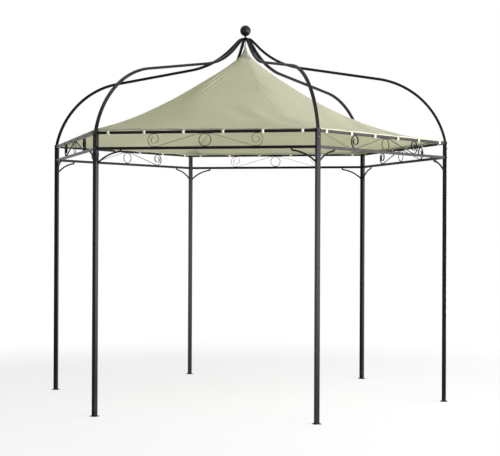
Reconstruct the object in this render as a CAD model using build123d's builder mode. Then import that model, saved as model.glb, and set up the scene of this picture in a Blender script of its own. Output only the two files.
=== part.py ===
"""Hexagonal metal gazebo: six posts, ogee ribs, scrolled friezes and a hung canopy.

The origin is on the ground at the middle of the hexagon, +Z is up and the front
side faces -Y. All lengths are in millimetres.
"""

import os
from math import acos, asin, cos, degrees, radians, sin, sqrt

from build123d import *

# Plan: six corners, with a flat side at the front
corner_count = 6
corner_turn = 360 / corner_count
corner_radius = 1750.0
corner_names = ["front_right", "right", "back_right", "back_left", "left", "front_left"]
side_names = ["front", "front_right", "back_right", "back", "back_left", "front_left"]

# Clearances between pieces
fit_gap = 0.2
cloth_gap = 0.3
cut_overrun = 5.0

# Posts and their feet
post_size = 35.0
post_corner = 4.0
post_wall = 1.5
eave_height = 2225.0
foot_size = 60.0
foot_corner = 6.0
foot_thickness = 4.0
foot_hole_radius = 3.5
foot_hole_inset = 8.0

# Sleeve that reduces the open top of a post to the rib
cap_flange = 3.0
cap_depth = 60.0
cap_chamfer = 1.0

# Ribs: upright foot, round shoulder, low slope, hollow neck, throat and crown
rib_size = 22.0
rib_corner = 2.0
rib_wall = 1.5
rib_foot_bend = 80.0
rib_lean_angle = 13.5
rib_shoulder_radius = 697.0
rib_slope_angle = 9.1
rib_neck_radius = 665.0
rib_throat_angle = 45.0
rib_throat_length = 90.0
rib_crown_bend = 45.0
rib_crown_length = 6.0

# Crown
hub_width = 44.0
hub_height = 26.0
hub_chamfer = 2.0
stud_radius = 5.0
stud_length = 9.0
finial_radius = 48.0
finial_neck_radius = 7.5
finial_neck_length = 5.0
finial_neck_fillet = 9.0
finial_collar_radius = 15.0
finial_collar_height = 4.0
hook_wire_radius = 3.0
hook_flat_count = 8
hook_length = 36.0
hook_bend = 5.0
hook_eye_radius = 8.0
hook_opening_angle = 70.0

# Frieze rails
rail_size = 22.0
rail_corner = 2.5
rail_wall = 1.5
top_rail_drop = 13.5
rail_pitch = 122.5

# Scrollwork between the rails: flat bar on edge
bar_width = 12.0
bar_thickness = 2.5
ring_bar = 5.0
volute_step = 12.25
volute_half_turn_count = 3
scroll_bend = 150.0
scroll_slope_angle = 16.2
scroll_end_offset = 26.0

# Corner braces under the lower rails
brace_radius = 6.5
brace_flat_count = 8
brace_reach = 184.0
brace_bend = 311.0
brace_rail_angle = 8.0
brace_toe_length = 3.0
brace_toe_bend = 10.0

# Canopy and the straps that tie its hem to the top rails
canopy_thickness = 3.0
canopy_tip_reach = 12.0
canopy_tip_length = 55.0
canopy_neck_reach = 30.0
canopy_neck_share = 0.97
canopy_sag_share = 0.356
seam_gap = 0.4
hem_height = 16.0
hem_rise = 8.0
hem_gap = 8.0
tie_count = 6
tie_width = 24.0
tie_thickness = 1.6
tie_end_offset = 100.0

# Places that follow from the sizes above
side_length = 2 * corner_radius * sin(radians(corner_turn / 2))
apothem = corner_radius * cos(radians(corner_turn / 2))
post_bottom = foot_thickness
rib_foot_top = eave_height + cap_flange
top_rail_height = eave_height - top_rail_drop
low_rail_height = top_rail_height - rail_pitch
frieze_gap = rail_pitch - rail_size
frieze_middle = (top_rail_height + low_rail_height) / 2

corner_angles = [(index - 1) * corner_turn for index in range(corner_count)]
side_turns = [index * corner_turn for index in range(corner_count)]
front_side = Plane(origin=(0, -apothem, 0), x_dir=(1, 0, 0), z_dir=(0, -1, 0))
right_corner_direction = Vector(cos(radians(-corner_turn)), sin(radians(-corner_turn)), 0)


def save(solid, name):
    """Label one finished piece and write it."""
    solid.label = name
    export_step(solid, f"parts/{name}.step")


def save_around(solid, stem, names, turns):
    """Write one piece at each corner or side of the hexagon."""
    for name, turn in zip(names, turns):
        save(solid.rotate(Axis.Z, turn), f"{stem}_{name}")


def post_face(clearance):
    """Plane along the front right post's face that the front rails meet."""
    along_face = right_corner_direction.rotate(Axis.Z, -90)
    corner = right_corner_direction * corner_radius
    return Plane(
        origin=corner + along_face * (post_size / 2 + clearance),
        x_dir=right_corner_direction,
        z_dir=along_face,
    )


def other_end(plane):
    """The same plane at the front left post."""
    return Plane(
        origin=(-plane.origin.X, plane.origin.Y, plane.origin.Z),
        x_dir=(-plane.x_dir.X, plane.x_dir.Y, 0),
        z_dir=(-plane.z_dir.X, plane.z_dir.Y, 0),
    )


os.makedirs("parts", exist_ok=True)

# Post: square tube with its faces square to the corner's radius
with BuildPart() as post:
    with BuildSketch(Plane((corner_radius, 0, post_bottom))):
        RectangleRounded(post_size, post_size, post_corner)
        RectangleRounded(
            post_size - 2 * post_wall,
            post_size - 2 * post_wall,
            post_corner - post_wall,
            mode=Mode.SUBTRACT,
        )
    extrude(amount=eave_height - post_bottom)
save_around(post.part, "post", corner_names, corner_angles)

# Foot plates, each with holes for ground pegs in two opposite corners
with BuildPart() as foot_plates:
    hole_offset = foot_size / 2 - foot_hole_inset
    with BuildSketch():
        with PolarLocations(corner_radius, corner_count):
            Rectangle(foot_size, foot_size)
            with Locations((hole_offset, hole_offset), (-hole_offset, -hole_offset)):
                Circle(foot_hole_radius, mode=Mode.SUBTRACT)
    extrude(amount=foot_thickness)
    plate_corners = foot_plates.edges().filter_by(GeomType.LINE).filter_by(Axis.Z)
    chamfer(plate_corners, foot_corner)
save(foot_plates.part, "foot_plates")

# Sleeves in the post tops, with a flange that lies on the tube's end
with BuildPart() as post_caps:
    with BuildSketch(Plane.XY.offset(eave_height)):
        with PolarLocations(corner_radius, corner_count):
            Rectangle(post_size, post_size)
    extrude(amount=cap_flange)
    chamfer(post_caps.edges().filter_by(Axis.Z), cap_chamfer)
    cap_skirt = post_size - 2 * (post_wall + fit_gap)
    with BuildSketch(Plane.XY.offset(eave_height)):
        with PolarLocations(corner_radius, corner_count):
            skirt = Rectangle(cap_skirt, cap_skirt)
            chamfer(skirt.vertices(), post_corner - post_wall)
    extrude(amount=-cap_depth)
    cap_bore = rib_size + 2 * fit_gap
    with BuildSketch(Plane.XY.offset(rib_foot_top + cut_overrun)):
        with PolarLocations(corner_radius, corner_count):
            Rectangle(cap_bore, cap_bore)
    extrude(amount=-(cap_depth + cap_flange + 2 * cut_overrun), mode=Mode.SUBTRACT)
save(post_caps.part, "post_caps")

# Rib: one square tube bent to an ogee, from inside a post's sleeve to the crown.
# The low slope takes up the span that the bends leave over.
lean, slope, throat = (radians(a) for a in (rib_lean_angle, rib_slope_angle, rib_throat_angle))
bend_span = (
    rib_foot_bend * (1 - cos(lean))
    + rib_shoulder_radius * (cos(lean) - sin(slope))
    + rib_neck_radius * (sin(throat) - sin(slope))
    + rib_throat_length * cos(throat)
    + rib_crown_bend * sin(throat)
    + rib_crown_length
)
rib_slope_length = (corner_radius - hub_width / 2 - fit_gap - bend_span) / cos(slope)
with BuildPart() as rib:
    with BuildLine(Plane.XZ) as rib_path:
        foot = Line((corner_radius, eave_height - cap_depth), (corner_radius, rib_foot_top))
        foot_bend = JernArc(foot @ 1, foot % 1, rib_foot_bend, rib_lean_angle)
        shoulder_angle = 90 - rib_lean_angle - rib_slope_angle
        shoulder = JernArc(foot_bend @ 1, foot_bend % 1, rib_shoulder_radius, shoulder_angle)
        low_slope = Line(shoulder @ 1, shoulder @ 1 + (shoulder % 1) * rib_slope_length)
        neck_angle = rib_throat_angle - rib_slope_angle
        neck = JernArc(low_slope @ 1, low_slope % 1, rib_neck_radius, -neck_angle)
        throat_run = Line(neck @ 1, neck @ 1 + (neck % 1) * rib_throat_length)
        crown_bend = JernArc(throat_run @ 1, throat_run % 1, rib_crown_bend, rib_throat_angle)
        crown_run = Line(crown_bend @ 1, crown_bend @ 1 + (crown_bend % 1) * rib_crown_length)
    with BuildSketch(Plane((corner_radius, 0, eave_height - cap_depth))):
        rib_section = Rectangle(rib_size, rib_size)
        chamfer(rib_section.vertices(), rib_corner)
        Rectangle(rib_size - 2 * rib_wall, rib_size - 2 * rib_wall, mode=Mode.SUBTRACT)
    sweep(path=rib_path.wires()[0])
save_around(rib.part, "rib", corner_names, corner_angles)
crown_height = (crown_run @ 1).Z

# Crown hub: a hexagonal block whose flats take the rib ends, bored for two studs
with BuildPart() as crown_hub:
    with BuildSketch(Plane.XY.offset(crown_height - hub_height / 2)):
        RegularPolygon(hub_width / 2, corner_count, major_radius=False, rotation=corner_turn / 2)
    extrude(amount=hub_height)
    chamfer(crown_hub.faces().sort_by(Axis.Z)[-1].edges(), hub_chamfer)
    chamfer(crown_hub.faces().sort_by(Axis.Z)[0].edges(), hub_chamfer)
    for face in (crown_hub.faces().sort_by(Axis.Z)[0], crown_hub.faces().sort_by(Axis.Z)[-1]):
        with Locations(Plane(face)):
            Hole(stud_radius + fit_gap, stud_length + fit_gap)
save(crown_hub.part, "crown_hub")

# Finial: a ball that runs down through a hollow neck into a collar and a stud
hub_top = crown_height + hub_height / 2
neck_bottom = hub_top + finial_collar_height
neck_top = neck_bottom + finial_neck_length
fillet_reach = finial_neck_radius + finial_neck_fillet
ball_reach = finial_radius + finial_neck_fillet
ball_height = neck_top + sqrt(ball_reach**2 - fillet_reach**2)
with BuildPart() as finial:
    with BuildSketch(Plane.XZ):
        with BuildLine():
            stem = Polyline(
                (0, hub_top - stud_length),
                (stud_radius, hub_top - stud_length),
                (stud_radius, hub_top),
                (finial_collar_radius, hub_top),
                (finial_collar_radius, neck_bottom),
                (finial_neck_radius, neck_bottom),
                (finial_neck_radius, neck_top),
            )
            fillet_angle = degrees(acos(fillet_reach / ball_reach))
            neck_curve = JernArc(stem @ 1, (0, 1), finial_neck_fillet, -fillet_angle)
            ball_top = (0, ball_height + finial_radius)
            ThreePointArc(neck_curve @ 1, (finial_radius, ball_height), ball_top)
            Line(ball_top, stem @ 0)
        make_face()
    revolve(axis=Axis.Z)
save(finial.part, "finial")

# Hook under the hub: a stud and a shank that ends in an open eye of bent wire
hub_bottom = crown_height - hub_height / 2
eye_height = hub_bottom - hook_length - hook_bend - hook_eye_radius
with BuildPart() as canopy_hook:
    with BuildSketch(Plane.XY.offset(hub_bottom)):
        Circle(stud_radius)
    extrude(amount=stud_length)
    with BuildLine(Plane.XZ) as hook_path:
        shank = Line((0, hub_bottom), (0, hub_bottom - hook_length))
        elbow = JernArc(shank @ 1, shank % 1, hook_bend, -90)
        JernArc(elbow @ 1, elbow % 1, hook_eye_radius, 360 - hook_opening_angle)
    with BuildSketch(Plane(hook_path.wires()[0] ^ 0)):
        RegularPolygon(hook_wire_radius, hook_flat_count)
    sweep(path=hook_path.wires()[0])
save(canopy_hook.part, "canopy_hook")

# Frieze rails: square tubes cut to the faces of the posts they meet
with BuildPart() as rail:
    with BuildSketch(Plane(origin=(0, -apothem, 0), x_dir=(0, 1, 0), z_dir=(1, 0, 0))):
        RectangleRounded(rail_size, rail_size, rail_corner)
        Rectangle(rail_size - 2 * rail_wall, rail_size - 2 * rail_wall, mode=Mode.SUBTRACT)
    extrude(amount=side_length / 2, both=True)
    split(bisect_by=post_face(fit_gap), keep=Keep.TOP)
    split(bisect_by=other_end(post_face(fit_gap)), keep=Keep.TOP)
for stem, height in (("top_rail", top_rail_height), ("bottom_rail", low_rail_height)):
    with BuildPart() as placed_rail:
        with Locations((0, 0, height)):
            add(rail.part)
    save_around(placed_rail.part, stem, side_names, side_turns)

# Scrollwork: a ring at mid side and, on each side of it, a flat bar that falls from
# the top rail in an ogee and winds up into a volute of three half turns
volute_radius = (frieze_gap - bar_thickness) / 2 - fit_gap
bar_low = frieze_middle - volute_radius
bar_high = frieze_middle + volute_radius
scroll_slope = radians(scroll_slope_angle)
bend_rise = 2 * scroll_bend * (1 - cos(scroll_slope))
scroll_run_length = (bar_high - bar_low - bend_rise) / sin(scroll_slope)
with BuildPart() as scroll_bar:
    with BuildSketch(front_side):
        with BuildLine():
            high_bend = JernArc((-scroll_end_offset, bar_high), (-1, 0), scroll_bend, scroll_slope_angle)
            fall = Line(high_bend @ 1, high_bend @ 1 + (high_bend % 1) * scroll_run_length)
            coil = JernArc(fall @ 1, fall % 1, scroll_bend, -scroll_slope_angle)
            for half_turn in range(volute_half_turn_count):
                coil_radius = volute_radius - half_turn * volute_step
                coil = JernArc(coil @ 1, coil % 1, coil_radius, -180)
        trace(line_width=bar_thickness)
    extrude(amount=bar_width / 2, both=True)
with BuildPart() as scrollwork:
    with BuildSketch(front_side):
        with Locations((0, frieze_middle)):
            Circle(frieze_gap / 2 - fit_gap)
            Circle(frieze_gap / 2 - fit_gap - ring_bar, mode=Mode.SUBTRACT)
    extrude(amount=ring_bar / 2, both=True)
    add(scroll_bar.part)
    mirror(scroll_bar.part, about=Plane.YZ)
save_around(scrollwork.part, "scrollwork", side_names, side_turns)

# Braces: a round bar that springs from the post in a bow, runs out under the lower rail
# and turns up to it at its toe
rail_underside = low_rail_height - rail_size / 2 - fit_gap
brace_start = side_length / 2 - post_size / 2 - brace_reach
brace_fall = radians(brace_rail_angle)
toe_span = brace_toe_bend * (1 - sin(brace_fall))
brace_post_angle = degrees(asin(sin(brace_fall) + (brace_reach - toe_span) / brace_bend))
with BuildPart() as brace:
    with BuildLine(front_side) as brace_path:
        toe = Line((brace_start, rail_underside), (brace_start, rail_underside - brace_toe_length))
        toe_bend = JernArc(toe @ 1, toe % 1, brace_toe_bend, 90 - brace_rail_angle)
        bow = JernArc(toe_bend @ 1, toe_bend % 1, brace_bend, brace_rail_angle - brace_post_angle)
        Line(bow @ 1, bow @ 1 + (bow % 1) * post_size / 2)
    with BuildSketch(Plane(brace_path.wires()[0] ^ 0)):
        RegularPolygon(brace_radius, brace_flat_count, major_radius=False)
    sweep(path=brace_path.wires()[0])
    split(bisect_by=post_face(fit_gap), keep=Keep.TOP)
with BuildPart() as brace_pair:
    add(brace.part)
    mirror(brace.part, about=Plane.YZ)
save_around(brace_pair.part, "braces", side_names, side_turns)

# Canopy: a tent of six gores that hangs from the hook, hollow along its ridges,
# drawn out to a narrow tip and ending in an upright hem inside the top rails.
# A gable across each pair of opposite gores is cut to the gables of the other pairs.
hem_apothem = apothem - rail_size / 2 - hem_gap
hem_top = top_rail_height + rail_size / 2 + hem_rise
canopy_top = eye_height - hook_eye_radius - hook_wire_radius - cloth_gap
canopy_rise = canopy_top - canopy_tip_length - hem_top


def tent(inset, drop, hem_depth):
    """Tent that lies inset and dropped from the cloth's outer face, with its hem."""
    hem_reach = hem_apothem - inset
    eave_level = hem_top - drop
    with BuildPart() as form:
        for pair in range(corner_count // 2):
            gore_angle = radians((pair + 1 / 2) * corner_turn)
            gable = Plane(
                origin=(0, 0, 0),
                x_dir=(cos(gore_angle), sin(gore_angle), 0),
                z_dir=(sin(gore_angle), -cos(gore_angle), 0),
            )
            with BuildSketch(gable):
                with BuildLine():
                    foot_line = Polyline(
                        (0, eave_level - hem_depth),
                        (hem_reach, eave_level - hem_depth),
                        (hem_reach, eave_level),
                    )
                    slope_line = ThreePointArc(
                        foot_line @ 1,
                        (hem_reach / 2, eave_level + canopy_rise * canopy_sag_share),
                        (canopy_neck_reach - inset, eave_level + canopy_rise * canopy_neck_share),
                    )
                    Polyline(
                        slope_line @ 1,
                        (canopy_tip_reach - inset, canopy_top - drop),
                        (0, canopy_top - drop),
                    )
                    mirror(about=Plane.YZ)
                make_face()
            combine = Mode.INTERSECT if pair else Mode.ADD
            extrude(amount=corner_radius, both=True, mode=combine)
    return form.part


# One gore is cut from the tent along the two ridges beside it and set round the axis
with BuildPart() as gore:
    add(tent(0, 0, hem_height))
    add(tent(canopy_thickness, canopy_thickness, hem_height + cut_overrun), mode=Mode.SUBTRACT)
    for ridge_angle, inward_angle in ((0, 90), (corner_turn, corner_turn - 90)):
        ridge = Vector(cos(radians(ridge_angle)), sin(radians(ridge_angle)), 0)
        inward = Vector(cos(radians(inward_angle)), sin(radians(inward_angle)), 0)
        seam = Plane(origin=inward * seam_gap / 2, x_dir=ridge, z_dir=inward)
        split(bisect_by=seam, keep=Keep.TOP)
with BuildPart() as canopy:
    with PolarLocations(0, corner_count):
        add(gore.part)
save(canopy.part, "canopy")

# Straps: each is a loop round a top rail with a tongue that reaches the hem
tie_pitch = (side_length - 2 * tie_end_offset) / (tie_count - 1)
tie_bore = rail_size + 2 * cloth_gap
tie_outside = tie_bore + 2 * tie_thickness
tongue_length = hem_gap - cloth_gap - (tie_outside - rail_size) / 2
with BuildPart() as tie:
    rail_section = Plane(origin=(0, -apothem, top_rail_height), x_dir=(0, 1, 0), z_dir=(1, 0, 0))
    with BuildSketch(rail_section):
        Rectangle(tie_outside, tie_outside)
        Rectangle(tie_bore, tie_bore, mode=Mode.SUBTRACT)
        with Locations((tie_outside / 2, tie_outside / 2)):
            Rectangle(tongue_length, tie_thickness, align=(Align.MIN, Align.MAX))
    extrude(amount=tie_width / 2, both=True)
with BuildPart() as canopy_ties:
    with PolarLocations(0, corner_count):
        with GridLocations(tie_pitch, 0, tie_count, 1):
            add(tie.part)
save(canopy_ties.part, "canopy_ties")
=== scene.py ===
import math

import bmesh
import bpy
from mathutils import Matrix, Vector, noise


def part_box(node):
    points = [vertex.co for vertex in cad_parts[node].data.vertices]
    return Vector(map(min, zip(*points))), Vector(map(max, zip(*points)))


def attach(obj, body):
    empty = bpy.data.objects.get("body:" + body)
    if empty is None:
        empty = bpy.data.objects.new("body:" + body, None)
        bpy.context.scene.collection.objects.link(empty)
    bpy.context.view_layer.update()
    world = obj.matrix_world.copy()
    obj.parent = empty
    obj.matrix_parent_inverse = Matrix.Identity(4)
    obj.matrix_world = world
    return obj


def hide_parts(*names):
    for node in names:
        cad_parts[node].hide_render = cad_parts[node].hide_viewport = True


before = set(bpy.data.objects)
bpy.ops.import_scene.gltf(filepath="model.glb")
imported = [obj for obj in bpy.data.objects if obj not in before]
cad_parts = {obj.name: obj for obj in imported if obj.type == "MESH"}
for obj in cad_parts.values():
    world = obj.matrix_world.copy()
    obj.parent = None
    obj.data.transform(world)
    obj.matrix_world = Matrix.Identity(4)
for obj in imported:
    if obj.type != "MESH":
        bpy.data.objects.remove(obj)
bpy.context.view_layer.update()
scene = bpy.context.scene
scene.view_settings.view_transform = "Standard"
print("frame loaded with", len(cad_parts), "nodes")

# corners by angle from +X, and the side that follows each one
cornerNames = ["right", "back_right", "back_left", "left", "front_left", "front_right"]
sideNames = ["back_right", "back", "back_left", "front_left", "front", "front_right"]
cornerTurn = math.radians(60)


def middle(node):
    low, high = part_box(node)
    return (low + high) / 2


# sizes read from the frame
railLow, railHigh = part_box("top_rail_front")
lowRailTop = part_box("bottom_rail_front")[1].z
cornerRadius = middle("post_right").x
apothem = -middle("top_rail_front").y
sideLength = cornerRadius
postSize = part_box("post_right")[1].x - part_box("post_right")[0].x
railSize = railHigh.z - railLow.z
railMid = middle("top_rail_front").z
lowRailMid = middle("bottom_rail_front").z
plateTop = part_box("foot_plates")[1].z
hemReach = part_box("canopy")[1].x
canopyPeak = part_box("canopy")[1].z
hubLow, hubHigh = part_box("crown_hub")


def around(angle, radius, height=0.0):
    return Vector((radius * math.cos(angle), radius * math.sin(angle), height))


def sideFrame(index):
    # turns a point of a side, (along, outward, up), to its place on the hexagon
    angle = (index + 0.5) * cornerTurn
    return Matrix.Rotation(angle + math.pi / 2, 4, "Z") @ Matrix.Translation((0, -apothem, 0))


def cornerFrame(index):
    # turns a point of a corner, (outward, along, up), to its place on the hexagon
    return Matrix.Rotation(index * cornerTurn, 4, "Z") @ Matrix.Translation((cornerRadius, 0, 0))


# node building

class Wire:
    # a socket that takes part in plain expressions
    def __init__(self, sheet, socket):
        self.sheet = sheet
        self.socket = socket

    def maths(self, operation, *values):
        return self.sheet.node("ShaderNodeMath", {"operation": operation}, dict(enumerate(values)))

    def __add__(self, other):
        return self.maths("ADD", self, other)

    def __sub__(self, other):
        return self.maths("SUBTRACT", self, other)

    def __rsub__(self, other):
        return self.maths("SUBTRACT", other, self)

    def __mul__(self, other):
        return self.maths("MULTIPLY", self, other)

    __radd__ = __add__
    __rmul__ = __mul__

    def wave(self):
        return self.maths("SINE", self)

    def clamped(self):
        return self.sheet.node("ShaderNodeClamp", {}, {"Value": self})


class NodeSheet:
    def __init__(self, tree):
        self.tree = tree
        tree.nodes.clear()

    def node(self, kind, settings=None, sockets=None, out=0):
        made = self.tree.nodes.new(kind)
        for key, value in (settings or {}).items():
            setattr(made, key, value)
        for key, value in (sockets or {}).items():
            if isinstance(value, Wire):
                self.tree.links.new(value.socket, made.inputs[key])
            else:
                made.inputs[key].default_value = value
        return Wire(self, made.outputs[out]) if len(made.outputs) else None

    def part(self, vector, axis):
        return self.node("ShaderNodeSeparateXYZ", {}, {"Vector": vector}, axis)

    def blend(self, share, first, second):
        # colours are mixed here, because plain maths would turn them grey
        return self.node("ShaderNodeMix", {"data_type": "RGBA"}, {0: share, 6: first, 7: second}, 2)

    def grain(self, place, scale, detail=2.0, rough=0.5):
        sockets = {"Vector": place, "Scale": scale, "Detail": detail, "Roughness": rough}
        return self.node("ShaderNodeTexNoise", {}, sockets)

    def ramp(self, value, low, high):
        sockets = {"Value": value, "From Min": low, "From Max": high}
        return self.node("ShaderNodeMapRange", {"interpolation_type": "SMOOTHSTEP"}, sockets)

    def bump(self, strength, depth, height, under=None):
        sockets = {"Strength": strength, "Distance": depth, "Height": height}
        if under:
            sockets["Normal"] = under
        return self.node("ShaderNodeBump", {}, sockets)

    def principled(self, colour, rough, bump, others):
        sockets = {"Base Color": colour, "Roughness": rough, "Normal": bump, **others}
        return self.node("ShaderNodeBsdfPrincipled", {}, sockets)

    def close(self, surface):
        self.node("ShaderNodeOutputMaterial", {}, {"Surface": surface})


def newFinish(name):
    material = bpy.data.materials.new(name)
    material.use_nodes = True
    sheet = NodeSheet(material.node_tree)
    return material, sheet, sheet.node("ShaderNodeTexCoord", out="Object")


def rgb(red, green, blue):
    # a colour as it is seen, 0 to 255, in linear light
    tones = []
    for value in (red, green, blue):
        share = value / 255
        tones.append(share / 12.92 if share <= 0.04045 else ((share + 0.055) / 1.055) ** 2.4)
    return (*tones, 1.0)


# finishes

paintLook = {
    "paint": rgb(11, 11, 13),
    "chalked": rgb(21, 21, 25),
    "dust": rgb(120, 112, 100),
    "dustHeight": 0.22,
    "dustShare": 0.08,
    "dustScale": 22.0,
    "scuffShare": 0.05,
    "scuffScale": 38.0,
    "cloudScale": 4.0,
    "rough": 0.28,
    "shine": 0.098,
    "peelScale": 420.0,
    "gritScale": 1700.0,
    "peelStrength": 0.35,
    "peelDepth": 0.0005,
}


def powderCoat(name, look):
    material, sheet, place = newFinish(name)
    cloud = sheet.grain(place, look["cloudScale"], 5.0, 0.6)
    peel = sheet.grain(place, look["peelScale"], 1.0)
    grit = sheet.grain(place, look["gritScale"], 1.0)
    scuff = sheet.ramp(sheet.grain(place, look["scuffScale"], 6.0, 0.75), 0.62, 0.72)
    # dust lies in patches near the ground
    low = sheet.ramp(sheet.part(place, "Z"), look["dustHeight"], 0.0)
    dust = low * sheet.ramp(sheet.grain(place, look["dustScale"], 6.0), 0.35, 0.7)
    paint = sheet.blend(sheet.ramp(cloud, 0.35, 0.75), look["paint"], look["chalked"])
    paint = sheet.blend(scuff * look["scuffShare"], paint, look["dust"])
    paint = sheet.blend(dust * look["dustShare"], paint, look["dust"])
    rough = look["rough"] + cloud * 0.08 + dust * 0.2 + scuff * 0.06
    bump = sheet.bump(look["peelStrength"], look["peelDepth"], peel * 0.7 + grit * 0.3)
    sheet.close(sheet.principled(paint, rough, bump, {"Specular IOR Level": look["shine"]}))
    return material


clothLook = {
    "shade": rgb(171, 171, 153),
    "light": rgb(193, 192, 177),
    "glow": rgb(228, 228, 198),
    "threads": 900.0,
    "weaveDepth": 0.0006,
    "slubThin": 260.0,
    "slubLong": 9.0,
    "cloudScale": 1.6,
    "crumpleScale": 26.0,
    "crumpleDepth": 0.004,
    "translucent": 0.5,
    "rough": 0.5,
    "shine": 0.5,
    "sheen": 0.15,
}


def wovenCloth(name, look):
    material, sheet, place = newFinish(name)
    weave = sheet.node("ShaderNodeUVMap", {"uv_map": "weave"})
    turn = 2 * math.pi * look["threads"]
    warp, weft = ((sheet.part(weave, axis) * turn).wave() for axis in "XY")
    knot = warp * weft * 0.5 + 0.5
    # slubs are threads that swell for a hand's breadth
    thin, wide = look["slubThin"], look["slubLong"]
    warpMap = sheet.node("ShaderNodeMapping", {}, {"Vector": weave, "Scale": (thin, wide, 1.0)})
    weftMap = sheet.node("ShaderNodeMapping", {}, {"Vector": weave, "Scale": (wide, thin, 1.0)})
    slub = sheet.grain(warpMap, 1.0, 2.0) + sheet.grain(weftMap, 1.0, 2.0)
    cloud = sheet.grain(place, look["cloudScale"], 4.0, 0.55)
    crumple = sheet.grain(place, look["crumpleScale"], 4.0, 0.6)
    share = sheet.ramp(cloud, 0.3, 0.7) * 0.55 + (slub - 1.0) * 0.55 + knot * 0.2 + 0.12
    colour = sheet.blend(share.clamped(), look["shade"], look["light"])
    fine = sheet.bump(0.3, look["weaveDepth"], knot * 0.35 + slub * 0.5)
    bump = sheet.bump(0.25, look["crumpleDepth"], crumple, fine)
    others = {"Specular IOR Level": look["shine"], "Sheen Weight": look["sheen"]}
    front = sheet.principled(colour, look["rough"] + knot * 0.1, bump, others)
    through = sheet.node("ShaderNodeBsdfTranslucent", {}, {"Color": look["glow"], "Normal": bump})
    sheet.close(sheet.node("ShaderNodeMixShader", {}, {0: look["translucent"], 1: front, 2: through}))
    return material


webbingLook = {
    "tape": rgb(214, 215, 196),
    "worn": rgb(194, 195, 172),
    "ribScale": 620.0,
    "ribDepth": 0.0006,
    "fuzzScale": 900.0,
    "rough": 0.72,
    "shine": 0.25,
}


def webbing(look):
    material, sheet, place = newFinish("tieWebbing")
    turn = 2 * math.pi * look["ribScale"]
    ribs = (sheet.part(place, "Z") * turn).wave() * 0.5 + 0.5
    fuzz = sheet.grain(place, look["fuzzScale"], 3.0)
    cloud = sheet.grain(place, 30.0, 3.0)
    colour = sheet.blend(sheet.ramp(cloud, 0.4, 0.75), look["tape"], look["worn"])
    bump = sheet.bump(0.4, look["ribDepth"], ribs * 0.6 + fuzz * 0.4)
    rough = look["rough"] + fuzz * 0.2
    sheet.close(sheet.principled(colour, rough, bump, {"Specular IOR Level": look["shine"]}))
    return material


plainLooks = {
    # colour, worn colour, roughness, metal and scale of the speckles
    "sleevePlastic": (rgb(30, 30, 32), rgb(44, 44, 46), 0.48, 0.0, 260.0),
    "hookSteel": (rgb(20, 20, 22), rgb(36, 36, 37), 0.4, 0.0, 190.0),
    "boltSteel": (rgb(46, 46, 49), rgb(92, 92, 94), 0.38, 0.6, 340.0),
    "sewingThread": (rgb(180, 182, 150), rgb(196, 196, 168), 0.7, 0.0, 1400.0),
}


def speckled(name):
    base, worn, rough, metal, scale = plainLooks[name]
    material, sheet, place = newFinish(name)
    fine = sheet.grain(place, scale, 4.0, 0.6)
    broad = sheet.grain(place, scale / 9, 3.0)
    colour = sheet.blend(sheet.ramp(broad, 0.4, 0.75), base, worn)
    bump = sheet.bump(0.25, 0.0003, fine)
    sheet.close(sheet.principled(colour, rough + fine * 0.15, bump, {"Metallic": metal}))
    return material


ballLook = {"rough": 0.26, "shine": 0.2}
# the hem is a little lighter than the canopy, a painted highlight along its edge; its lower see-through
# share is the doubled cloth
hemToneWithHighlight = {"shade": rgb(180, 181, 154), "light": rgb(198, 199, 176), "translucent": 0.12}
seamTone = {"shade": rgb(173, 174, 148), "light": rgb(195, 195, 171), "translucent": 0.22}
# the peak patch and the bound tip are darker and greyer than the canopy, which darkens the tip
patchTone = {"shade": rgb(139, 142, 124), "light": rgb(153, 156, 138), "translucent": 0.3}
paint = powderCoat("powderCoat", paintLook)
ballPaint = powderCoat("ballPaint", {**paintLook, **ballLook})
cloth = wovenCloth("canopyCloth", clothLook)
hemClothWithHighlight = wovenCloth("hemClothWithHighlight", {**clothLook, **hemToneWithHighlight})
seamCloth = wovenCloth("seamCloth", {**clothLook, **seamTone})
patchCloth = wovenCloth("patchCloth", {**clothLook, **patchTone})
tape = webbing(webbingLook)
sleevePlastic, hookSteel, boltSteel, thread = (speckled(name) for name in plainLooks)
print("finishes made")

nodeFinish = {"post_caps": sleevePlastic, "canopy_hook": hookSteel, "finial": ballPaint}
for name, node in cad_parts.items():
    node.data.materials.clear()
    node.data.materials.append(nodeFinish.get(name, paint))


# mesh helpers

def placed(name, data):
    made = bpy.data.objects.new(name, data)
    scene.collection.objects.link(made)
    return made


def newPiece(name, verts, faces, finish, uvs=None):
    mesh = bpy.data.meshes.new(name)
    mesh.from_pydata([tuple(v) for v in verts], [], faces)
    mesh.validate()
    mesh.update()
    if uvs:
        layer = mesh.uv_layers.new(name="weave")
        for loop in mesh.loops:
            layer.data[loop.index].uv = uvs[loop.vertex_index]
    mesh.polygons.foreach_set("use_smooth", [True] * len(mesh.polygons))
    mesh.materials.append(finish)
    return placed(name, mesh)


def faceOutwards(piece):
    shape = bmesh.new()
    shape.from_mesh(piece.data)
    bmesh.ops.remove_doubles(shape, verts=shape.verts, dist=1e-6)
    bmesh.ops.recalc_face_normals(shape, faces=shape.faces)
    shape.to_mesh(piece.data)
    shape.free()
    piece.data.update()
    return piece


def lathe(profile, steps):
    # closed profile of (radius, height) points from one pole to the other
    turns = [2 * math.pi * step / steps for step in range(steps)]
    rings = [[around(turn, *spot) for turn in turns] for spot in profile[1:-1]]
    verts, faces = bandShape(rings, False)
    pole = len(verts)
    verts += [Vector((0, 0, profile[0][1])), Vector((0, 0, profile[-1][1]))]
    # fans to the poles take the place of the flat ends
    faces = faces[:-2]
    for step in range(steps):
        after = (step + 1) % steps
        faces.append((pole, after, step))
        faces.append((pole - steps + step, pole - steps + after, pole + 1))
    return verts, faces


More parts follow.
